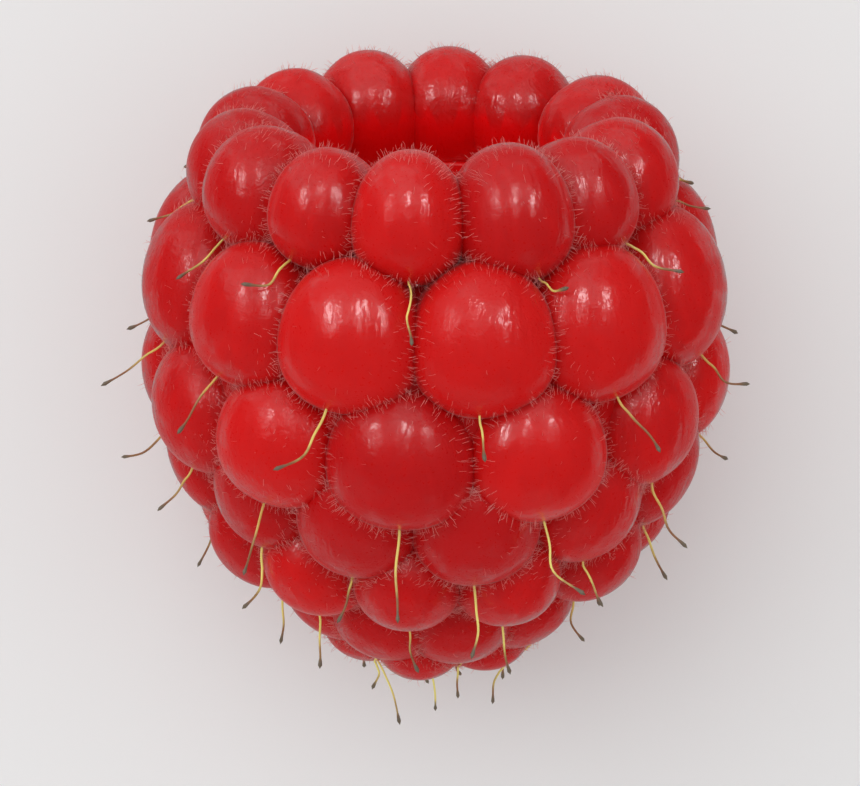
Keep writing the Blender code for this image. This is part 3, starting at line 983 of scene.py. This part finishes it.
class Wiring:
    """Adds and joins nodes in one tree."""

    def __init__(self, tree):
        self.tree = tree

    def fill(self, node, inputs):
        """Each named input of the node joined to a socket, or set to a value."""
        for name, value in inputs.items():
            if isinstance(value, bpy.types.NodeSocket):
                self.tree.links.new(value, node.inputs[name])
            else:
                node.inputs[name].default_value = value
        return node

    def add(self, kind, inputs=None, **settings):
        node = self.tree.nodes.new(kind)
        for name, value in settings.items():
            setattr(node, name, value)
        return self.fill(node, inputs or {})

    def math(self, operation, *values):
        inputs = dict(enumerate(values))
        return self.add("ShaderNodeMath", inputs, operation=operation).outputs[0]

    def total(self, start, *terms):
        """The start with the value of each term added as often as its weight says."""
        for value, weight in terms:
            start = self.math("ADD", start, self.math("MULTIPLY", value, weight))
        return start

    def mix(self, share, first, second):
        """The first colour where the share is 0, and the second where it is 1."""
        inputs = {0: share}
        for place, colour in ((6, first), (7, second)):
            inputs[place] = (*colour, 1.0) if isinstance(colour, tuple) else colour
        return self.add("ShaderNodeMix", inputs, data_type="RGBA").outputs[2]

    def spread(self, value, low, high, to_low=0.0, to_high=1.0):
        """The value's span from low to high, smoothly turned into another span."""
        inputs = {
            "Value": value,
            "From Min": low,
            "From Max": high,
            "To Min": to_low,
            "To Max": to_high,
        }
        node = self.add("ShaderNodeMapRange", inputs, interpolation_type="SMOOTHSTEP")
        return node.outputs["Result"]

    def stored(self, name, vector=False):
        node = self.add("ShaderNodeAttribute", attribute_name=name)
        return node.outputs["Vector" if vector else "Fac"]


def new_group(name, inputs, outputs):
    """An empty node group with named inputs and outputs, and their two nodes."""
    tree = bpy.data.node_groups.new(name, "ShaderNodeTree")
    for title, kind, default in inputs:
        socket = tree.interface.new_socket(title, in_out="INPUT", socket_type=kind)
        if default is not None:
            socket.default_value = default
    for title, kind in outputs:
        tree.interface.new_socket(title, in_out="OUTPUT", socket_type=kind)
    wiring = Wiring(tree)
    entry = wiring.add("NodeGroupInput")
    leaving = wiring.add("NodeGroupOutput")
    return wiring, entry.outputs, leaving.inputs


def streaks_group():
    """Fine streaks that run from tip to rim, from a place on a drupelet."""
    name = "brushed_streaks"
    if name in bpy.data.node_groups:
        return bpy.data.node_groups[name]
    wiring, given, out = new_group(
        name,
        (
            ("Strand", "NodeSocketVector", None),
            ("Across", "NodeSocketFloat", 10.0),
            ("Along", "NodeSocketFloat", 3.0),
            ("Unrest", "NodeSocketFloat", 0.3),
        ),
        (("Streaks", "NodeSocketFloat"),),
    )
    stretch = wiring.add(
        "ShaderNodeCombineXYZ", {"X": given["Across"], "Y": given["Along"], "Z": given["Across"]}
    )
    scaled = wiring.add(
        "ShaderNodeVectorMath", {0: given["Strand"], 1: stretch.outputs[0]}, operation="MULTIPLY"
    )
    noise = wiring.add(
        "ShaderNodeTexNoise",
        {
            "Vector": scaled.outputs[0],
            "Scale": 1.0,
            "Detail": 2.0,
            "Roughness": 0.5,
            "Distortion": given["Unrest"],
        },
    )
    wiring.tree.links.new(noise.outputs["Fac"], out["Streaks"])
    return wiring.tree


def mottling_group():
    """Soft patches, from a place in space."""
    name = "soft_mottling"
    if name in bpy.data.node_groups:
        return bpy.data.node_groups[name]
    wiring, given, out = new_group(
        name,
        (
            ("Place", "NodeSocketVector", None),
            ("Patches per Millimetre", "NodeSocketFloat", 1.0),
            ("Roughness", "NodeSocketFloat", 0.5),
        ),
        (("Mottling", "NodeSocketFloat"),),
    )
    scale = wiring.math("DIVIDE", given["Patches per Millimetre"], MM)
    noise = wiring.add(
        "ShaderNodeTexNoise",
        {"Vector": given["Place"], "Scale": scale, "Detail": 4.0, "Roughness": given["Roughness"]},
    )
    wiring.tree.links.new(noise.outputs["Fac"], out["Mottling"])
    return wiring.tree


def new_material(name):
    """A material with its shader, and what wires its nodes."""
    material = bpy.data.materials.new(name)
    material.use_nodes = True
    shader = material.node_tree.nodes["Principled BSDF"]
    return material, Wiring(material.node_tree), shader


def streaks(wiring, strand, across, along, unrest):
    values = {"Strand": strand, "Across": across, "Along": along, "Unrest": unrest}
    return wiring.add("ShaderNodeGroup", values, node_tree=streaks_group()).outputs["Streaks"]


def mottling(wiring, per_mm, roughness=0.5):
    place = wiring.add("ShaderNodeTexCoord").outputs["Object"]
    values = {"Place": place, "Patches per Millimetre": per_mm, "Roughness": roughness}
    return wiring.add("ShaderNodeGroup", values, node_tree=mottling_group()).outputs["Mottling"]


# The skin's patterns: how many across and along a drupelet's half size and how unrestful, or how
# many patches per millimetre and how rough.
FINE_STREAKS = (16.0, 4.0, 0.6)
BROAD_STREAKS = (3.5, 1.3, 0.8)
RIPPLES = (8.0, 5.0, 1.2)
WRINKLES = (5.0, 22.0, 0.8)
GRAIN = (9.0, 0.6)
FILM_PATCHES = 0.8

# How much each pattern does to the skin's colour, its gloss and its height, which is counted in
# ripple depths.
BROAD_TONE = 0.7
FINE_TONE = 0.35
GRAIN_ROUGHNESS = 0.2
GLOSS = 0.65
FINE_GLOSS = 1.2
GRAIN_GLOSS = 1.6
FILM_GLOSS = (0.44, 0.58, 0.1, 1.35)  # from the film's dull patches to its clear ones
RIPPLE_HEIGHTS = (8.0, 26.0)  # of the calmest and the most rippled drupelet
BROAD_HEIGHT = 36.0
FINE_HEIGHT = 4.0
WRINKLE_HEIGHT = 7.0
GRAIN_HEIGHT = 4.0


def skin_material(settings):
    """Glossy, slightly see-through red skin with fine ripples, brushed from tip to rim."""
    material, wiring, shader = new_material("ripe_skin")
    strand = wiring.stored("strand", vector=True)
    seed = wiring.stored("seed")
    tone = wiring.stored("tone")
    room = wiring.stored("room")
    inside = wiring.stored("inside")
    fine = streaks(wiring, strand, *FINE_STREAKS)
    broad = streaks(wiring, strand, *BROAD_STREAKS)
    ripples = streaks(wiring, strand, *RIPPLES)
    wrinkles = streaks(wiring, strand, *WRINKLES)
    grain = mottling(wiring, *GRAIN)
    film = mottling(wiring, FILM_PATCHES)
    from_fine = wiring.math("SUBTRACT", fine, 0.5)
    from_broad = wiring.math("SUBTRACT", broad, 0.5)
    from_grain = wiring.math("SUBTRACT", grain, 0.5)
    depth = wiring.total(tone, (from_broad, BROAD_TONE), (from_fine, FINE_TONE))
    depth = wiring.spread(depth, 0.0, 1.0)
    colour = wiring.mix(depth, tuple(settings.deep_colour), tuple(settings.bright_colour))
    # Painted shade: near another drupelet the skin is drawn towards the crease colour, which stands in
    # for the shade down in the creases.
    crease = wiring.spread(room, 0.0, settings.crease_shade_reach / MM, 1.0, 0.0)
    colour = wiring.mix(crease, colour, tuple(settings.crease_shade_colour))
    colour = wiring.mix(inside, colour, tuple(settings.hollow_colour))
    roughness = wiring.total(settings.roughness, (from_grain, GRAIN_ROUGHNESS))
    gloss = wiring.total(GLOSS, (from_fine, FINE_GLOSS), (from_grain, GRAIN_GLOSS))
    gloss = wiring.math("MULTIPLY", gloss, wiring.spread(film, *FILM_GLOSS))
    rippled = wiring.math("MULTIPLY", ripples, wiring.spread(seed, 0.0, 1.0, *RIPPLE_HEIGHTS))
    height = wiring.total(
        rippled,
        (broad, BROAD_HEIGHT),
        (fine, FINE_HEIGHT),
        (wrinkles, WRINKLE_HEIGHT),
        (grain, GRAIN_HEIGHT),
    )
    bump = wiring.add(
        "ShaderNodeBump", {"Strength": 1.0, "Distance": settings.ripple_depth, "Height": height}
    )
    wiring.fill(
        shader,
        {
            "Base Color": colour,
            "Roughness": roughness,
            "Normal": bump.outputs["Normal"],
            "IOR": 1.45,
            "Subsurface Weight": 0.8,
            "Subsurface Radius": (1.0, 0.12, 0.08),
            "Subsurface Scale": settings.glow_depth,
            "Specular IOR Level": 0.35,
            "Sheen Weight": 0.3,
            "Sheen Roughness": 0.2,
            "Coat Weight": gloss,
            "Coat Roughness": 0.06,
            "Coat Normal": bump.outputs["Normal"],
        },
    )
    return material


# A style's patches per millimetre, the drawn values that turn it from green to gold, and how its
# drying spreads: where it starts and is complete along the style, and what shifts that.
STYLE_PATCHES = 2.0
GOLDEN_STYLES = (0.3, 0.9)
DRY_STRETCH = (0.62, 0.90)
KNOB_STRETCH = (0.86, 0.95)
PATCHY_DRYING = -0.3
DRAWN_DRYING = 0.35


def style_material(settings):
    """Straw yellow with a hint of green, drying to brown at the knob."""
    material, wiring, shader = new_material("dried_stalk")
    along = wiring.stored("along")
    drawn = wiring.stored("drawn")
    patches = mottling(wiring, STYLE_PATCHES)
    golden = wiring.spread(drawn, *GOLDEN_STYLES)
    fresh = wiring.mix(golden, tuple(settings.root_colour), tuple(settings.gold_colour))
    reach = wiring.total(
        along,
        (wiring.math("SUBTRACT", patches, 0.5), PATCHY_DRYING),
        (wiring.math("SUBTRACT", drawn, 0.4), DRAWN_DRYING),
    )
    colour = wiring.mix(wiring.spread(reach, *DRY_STRETCH), fresh, tuple(settings.dry_colour))
    colour = wiring.mix(wiring.spread(along, *KNOB_STRETCH), colour, tuple(settings.knob_colour))
    bump = wiring.add("ShaderNodeBump", {"Strength": 0.6, "Distance": 0.00001, "Height": patches})
    wiring.fill(
        shader,
        {
            "Base Color": colour,
            "Roughness": wiring.total(0.35, (patches, 0.3)),
            "Normal": bump.outputs["Normal"],
            "Subsurface Weight": 0.2,
            "Subsurface Radius": (1.0, 0.8, 0.3),
            "Subsurface Scale": 0.0001,
        },
    )
    return material


def hair_material(settings):
    """Pale hairs that take a little of the skin's red near their roots."""
    material, wiring, shader = new_material("pale_hair")
    along = wiring.stored("along")
    pale = wiring.stored("pale")
    share = wiring.total(wiring.math("MULTIPLY", along, 0.4), (pale, 0.6))
    share = wiring.spread(share, 0.0, 1.0)
    colour = wiring.mix(share, tuple(settings.root_colour), tuple(settings.tip_colour))
    wiring.fill(
        shader,
        {
            "Base Color": colour,
            "Roughness": wiring.total(0.35, (pale, 0.2)),
        },
    )
    return material


BOARD_PATCHES = (0.02, 0.6)  # to a millimetre, and how rough
BOARD_SHADE = 0.96  # of the board's colour, in its darkest patches


def floor_material(settings):
    """Matt pale board with the faintest unevenness."""
    material, wiring, shader = new_material("pale_board")
    patches = mottling(wiring, *BOARD_PATCHES)
    shade = tuple(BOARD_SHADE * value for value in settings.floor_colour)
    wiring.fill(
        shader,
        {
            "Base Color": wiring.mix(patches, shade, tuple(settings.floor_colour)),
            "Roughness": wiring.total(0.6, (patches, 0.2)),
            "Specular IOR Level": 0.2,
        },
    )
    return material


# What a user would change.


def colour_property(title, description, value):
    return FloatVectorProperty(
        name=title, description=description, default=value, size=3, min=0.0, max=1.0, subtype="COLOR"
    )


def size_property(title, description, value):
    return FloatProperty(
        name=title, description=description, default=value, min=0.0, precision=6, unit="LENGTH"
    )


def count_property(title, description, value, least, most):
    return IntProperty(name=title, description=description, default=value, min=least, max=most)


def share_property(title, description, value):
    return FloatProperty(
        name=title, description=description, default=value, min=0.0, max=1.0, subtype="FACTOR"
    )


def brightness_property(title, description, value):
    return FloatProperty(name=title, description=description, default=value, min=0.0)


class SkinSettings(bpy.types.PropertyGroup):
    sides: count_property("Sides", "Facets round one drupelet", 48, 12, 64)
    rows: count_property("Rows", "Rows of facets on a drupelet's outer half", 16, 4, 24)
    bright_colour: colour_property(
        "Bright Red", "Skin of the brightest drupelets", (0.66, 0.0085, 0.0085)
    )
    deep_colour: colour_property("Deep Red", "Skin of the deepest drupelets", (0.52, 0.0065, 0.008))
    # The crease colour is painted shade down between the drupelets.
    crease_shade_colour: colour_property("Crease", "Skin down between the drupelets", (0.60, 0.003, 0.004))
    hollow_colour: colour_property("Hollow", "Inside of the hollow", (0.80, 0.003, 0.005))
    # How far the painted crease shade reaches from where two drupelets meet.
    crease_shade_reach: size_property("Crease Reach", "How far the crease colour reaches", 0.00030)
    ripple_depth: size_property("Ripple Depth", "Depth of the skin's fine unevenness", 0.000001)
    glow_depth: size_property("Glow Depth", "How far light travels under the skin", 0.0012)
    roughness: share_property("Roughness", "Roughness of the skin", 0.30)


class StyleSettings(bpy.types.PropertyGroup):
    radius: size_property("Radius", "Half the thickness of a stalk", 0.000048)
    knob_radius: size_property("Knob Radius", "Half the thickness of a knob", 0.000078)
    steps: count_property("Steps", "Rings along a style", 30, 8, 60)
    sides: count_property("Sides", "Facets round a style", 10, 3, 24)
    root_colour: colour_property("Root", "Fresh end of a style", (0.88, 0.76, 0.20))
    gold_colour: colour_property("Gold", "Root of the driest styles", (0.72, 0.48, 0.12))
    dry_colour: colour_property("Dry", "Drying end of a style", (0.30, 0.13, 0.05))
    knob_colour: colour_property("Knob", "Knob of a style", (0.17, 0.13, 0.085))


class HairSettings(bpy.types.PropertyGroup):
    tries: count_property("Tries", "Places tried for hairs on each drupelet", 2300, 10, 20000)
    length: size_property("Length", "Usual length of a hair", 0.00042)
    radius: size_property("Radius", "Half the thickness of a hair", 0.0000075)
    margin: size_property("Margin", "Width of the close growth along each margin", 0.00022)
    face_share: share_property(
        "Face Share", "Growth on a drupelet's face, as a share of that along its margin", 0.045
    )
    root_colour: colour_property("Root", "Root of a hair", (0.75, 0.13, 0.12))
    tip_colour: colour_property("Tip", "Tip of a hair", (0.90, 0.42, 0.38))


class StageSettings(bpy.types.PropertyGroup):
    floor_size: size_property("Floor Size", "Side of the floor", 3.0)
    floor_colour: colour_property("Floor", "Colour of the floor", (0.86, 0.86, 0.86))
    sky: brightness_property("Sky", "Light from all round", 0.8)
    key: brightness_property("Key", "Soft light from the upper left", 0.8)
    softbox: brightness_property("Softbox", "Brightness of the large sheen", 0.48)
    window: brightness_property("Windows", "Brightness of the small sheens", 12.0)
    glimmer: brightness_property("Glimmer", "Brightness of the faint sheens below them", 2.0)
    horizon: brightness_property("Horizon", "Brightness of the low sheen", 0.12)
    table_glow: brightness_property("Table Glow", "How bright the skin mirrors the floor", 0.3)
    camera_distance: size_property("Camera Distance", "From the fruit's middle", 0.1037)
    camera_lens: FloatProperty(
        name="Lens", description="Focal length for a 36 mm sensor", default=117.2, min=10.0, unit="CAMERA"
    )
    camera_lean: FloatProperty(
        name="Camera Lean",
        description="Lean of the view from straight down towards the tip",
        default=math.radians(1.0),
        subtype="ANGLE",
    )


SETTINGS = {
    "raspberry_skin": SkinSettings,
    "raspberry_styles": StyleSettings,
    "raspberry_hairs": HairSettings,
    "raspberry_stage": StageSettings,
}


# One operator for each piece or group of like pieces.


class RASPBERRY_OT_add_skin(bpy.types.Operator):
    """Grow the fused drupelets and the hollow inside them"""

    bl_idname = "raspberry.add_skin"
    bl_label = "Add Skin"

    def execute(self, context):
        settings = context.scene.raspberry_skin
        drupelets = all_drupelets()
        mesh = skin_mesh(drupelets, settings.sides, settings.rows, resting_place(drupelets))
        skin = riding_piece("drupelet_skin_surface", mesh, skin_material(settings))
        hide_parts(NODE)
        return {"FINISHED"}


class RASPBERRY_OT_add_styles(bpy.types.Operator):
    """Grow the dried styles, one on each drupelet that kept its own"""

    bl_idname = "raspberry.add_styles"
    bl_label = "Add Styles"

    def execute(self, context):
        settings = context.scene.raspberry_styles
        drupelets = all_drupelets()
        grown = [style_points(each, drupelets, settings) for each in drupelets if has_style(each)]
        paths = np.array([path for path, radii in grown])
        radii = np.array([radii for path, radii in grown])
        points, triangles, shares = tubes(paths, radii, settings.sides)
        mesh = triangle_mesh("styles_mesh", placed(points, resting_place(drupelets)), triangles)
        drawn = np.random.default_rng(STYLE_SEED).random(len(paths))
        aside = np.abs(paths[:, 0, 0]) / SIDE_REACH
        drawn = np.clip(STYLE_DRYNESS[0] * drawn + STYLE_DRYNESS[1] * aside, 0.0, 1.0)
        put_values(mesh, "along", "FLOAT", "POINT", shares)
        put_values(mesh, "drawn", "FLOAT", "POINT", np.repeat(drawn, len(points) // len(paths)))
        riding_piece("styles", mesh, style_material(settings))
        return {"FINISHED"}


class RASPBERRY_OT_add_hairs(bpy.types.Operator):
    """Grow the fine hairs along the drupelets' margins"""

    bl_idname = "raspberry.add_hairs"
    bl_label = "Add Hairs"

    def execute(self, context):
        settings = context.scene.raspberry_hairs
        drupelets = all_drupelets()
        growth = growth_of(drupelets)
        place = resting_place(drupelets)
        material = hair_material(settings)
        for part, rings in HAIR_RINGS.items():
            numbers = [index for index, drupelet in enumerate(drupelets) if drupelet.ring in rings]
            mesh = hair_mesh(f"hairs_{part}_mesh", numbers, drupelets, growth, place, settings)
            riding_piece(f"hairs_{part}", mesh, material)
        return {"FINISHED"}


class Light(NamedTuple):
    """A rectangular light that faces the fruit. Its distance and its size are metres."""

    name: str
    towards: tuple
    distance: float
    size: tuple
    mirrored: bool = True  # seen as a reflection, or else felt as soft light


KEY = Light("key", (-0.45, 0.50, 0.74), 0.60, (0.70, 0.70), mirrored=False)
SOFTBOX = Light("softbox", (-0.25, 0.80, 0.55), 0.60, (1.30, 1.30))
HORIZON = Light("horizon", (-0.35, -0.93, 0.08), 0.60, (1.60, 0.50))
# Stands in for the floor, which reflections don't show.
TABLE_GLOW = Light("table_glow", (0.0, 0.0, -1.0), 0.30, (2.00, 2.00))

# The windows stand side by side, each with its glimmer below it.
WINDOW = Light("window", (0.0, 0.40, 0.92), 0.50, (0.045, 0.18))
GLIMMER = Light("glimmer", (0.0, 0.04, 1.00), 0.50, (0.08, 0.10))
WINDOW_PLACES = (-0.60, 0.0, 0.56)  # across the view, as shares of the distance

VIEW_SHIFT = (-0.156, -0.37, 0.0)  # millimetres from the fruit's place to the view's middle


def area_light(light, brightness):
    """Puts a light in the scene, with its width across the view."""
    lamp = bpy.data.lights.new(light.name, "AREA")
    lamp.shape = "RECTANGLE"
    lamp.size, lamp.size_y = light.size
    lamp.energy = brightness * math.pi * light.size[0] * light.size[1]
    holder = bpy.data.objects.new(light.name, lamp)
    back = Vector(light.towards).normalized()
    up = back.cross(Vector((1.0, 0.0, 0.0))).normalized()
    turned = Matrix((up.cross(back), up, back)).transposed().to_4x4()
    holder.matrix_world = Matrix.Translation(back * light.distance) @ turned
    holder.visible_camera = False
    holder.visible_glossy = light.mirrored
    holder.visible_diffuse = not light.mirrored
    bpy.context.scene.collection.objects.link(holder)


def moved_aside(light, number, across):
    """The light at the same distance, but to one side."""
    _, up, out = light.towards
    ahead = math.sqrt(1.0 - across**2)
    return light._replace(name=f"{light.name}_{number}", towards=(across, up * ahead, out * ahead))


class RASPBERRY_OT_add_stage(bpy.types.Operator):
    """Make the pale floor, the soft lights and the camera"""

    bl_idname = "raspberry.add_stage"
    bl_label = "Add Stage"

    def execute(self, context):
        settings = context.scene.raspberry_stage
        scene = context.scene
        half = settings.floor_size / 2.0
        corners = [(-half, -half, 0.0), (half, -half, 0.0), (half, half, 0.0), (-half, half, 0.0)]
        mesh = bpy.data.meshes.new("floor_mesh")
        mesh.from_pydata(corners, [], [(0, 1, 2, 3)])
        mesh.materials.append(floor_material(settings))
        floor = bpy.data.objects.new("floor", mesh)
        scene.collection.objects.link(floor)
        floor.visible_glossy = False

        area_light(KEY, settings.key)
        area_light(SOFTBOX, settings.softbox)
        for number, across in enumerate(WINDOW_PLACES):
            area_light(moved_aside(WINDOW, number, across), settings.window)
            area_light(moved_aside(GLIMMER, number, across), settings.glimmer)
        area_light(HORIZON, settings.horizon)
        area_light(TABLE_GLOW, settings.table_glow)

        world = bpy.data.worlds.new("studio")
        world.use_nodes = True
        background = world.node_tree.nodes["Background"]
        background.inputs["Color"].default_value = (1.0, 1.0, 1.0, 1.0)
        background.inputs["Strength"].default_value = settings.sky
        world.cycles_visibility.glossy = False
        scene.world = world
        scene.view_settings.view_transform = "Standard"

        place = resting_place(all_drupelets())
        aim = place.translation + Vector(VIEW_SHIFT) * MM
        lean = settings.camera_lean
        back = Vector((0.0, -math.sin(lean), math.cos(lean)))
        right = Vector((1.0, 0.0, 0.0))
        camera = bpy.data.cameras.new("camera")
        camera.lens = settings.camera_lens
        camera.sensor_width = 36.0
        camera.clip_start = 0.001
        camera.clip_end = 10.0
        holder = bpy.data.objects.new("camera", camera)
        turned = Matrix((right, back.cross(right), back)).transposed().to_4x4()
        holder.matrix_world = Matrix.Translation(aim + back * settings.camera_distance) @ turned
        scene.collection.objects.link(holder)
        scene.camera = holder
        return {"FINISHED"}


OPERATORS = (
    RASPBERRY_OT_add_skin,
    RASPBERRY_OT_add_styles,
    RASPBERRY_OT_add_hairs,
    RASPBERRY_OT_add_stage,
)


class RASPBERRY_PT_sidebar(bpy.types.Panel):
    """The raspberry's pieces"""

    bl_idname = "RASPBERRY_PT_sidebar"
    bl_label = "Raspberry"
    bl_space_type = "VIEW_3D"
    bl_region_type = "UI"
    bl_category = "Raspberry"

    def draw(self, context):
        for operator, name in zip(OPERATORS, SETTINGS):
            box = self.layout.box()
            settings = getattr(context.scene, name)
            for key in settings.__annotations__:
                box.prop(settings, key)
            box.operator(operator.bl_idname)


CLASSES = (*SETTINGS.values(), *OPERATORS, RASPBERRY_PT_sidebar)


def register():
    for each in CLASSES:
        bpy.utils.register_class(each)
    for name, group in SETTINGS.items():
        setattr(bpy.types.Scene, name, PointerProperty(type=group))


def unregister():
    for name in SETTINGS:
        delattr(bpy.types.Scene, name)
    for each in reversed(CLASSES):
        bpy.utils.unregister_class(each)


def main():
    register()
    bpy.ops.raspberry.add_skin()
    bpy.ops.raspberry.add_styles()
    bpy.ops.raspberry.add_hairs()
    bpy.ops.raspberry.add_stage()


if __name__ == "__main__":
    main()
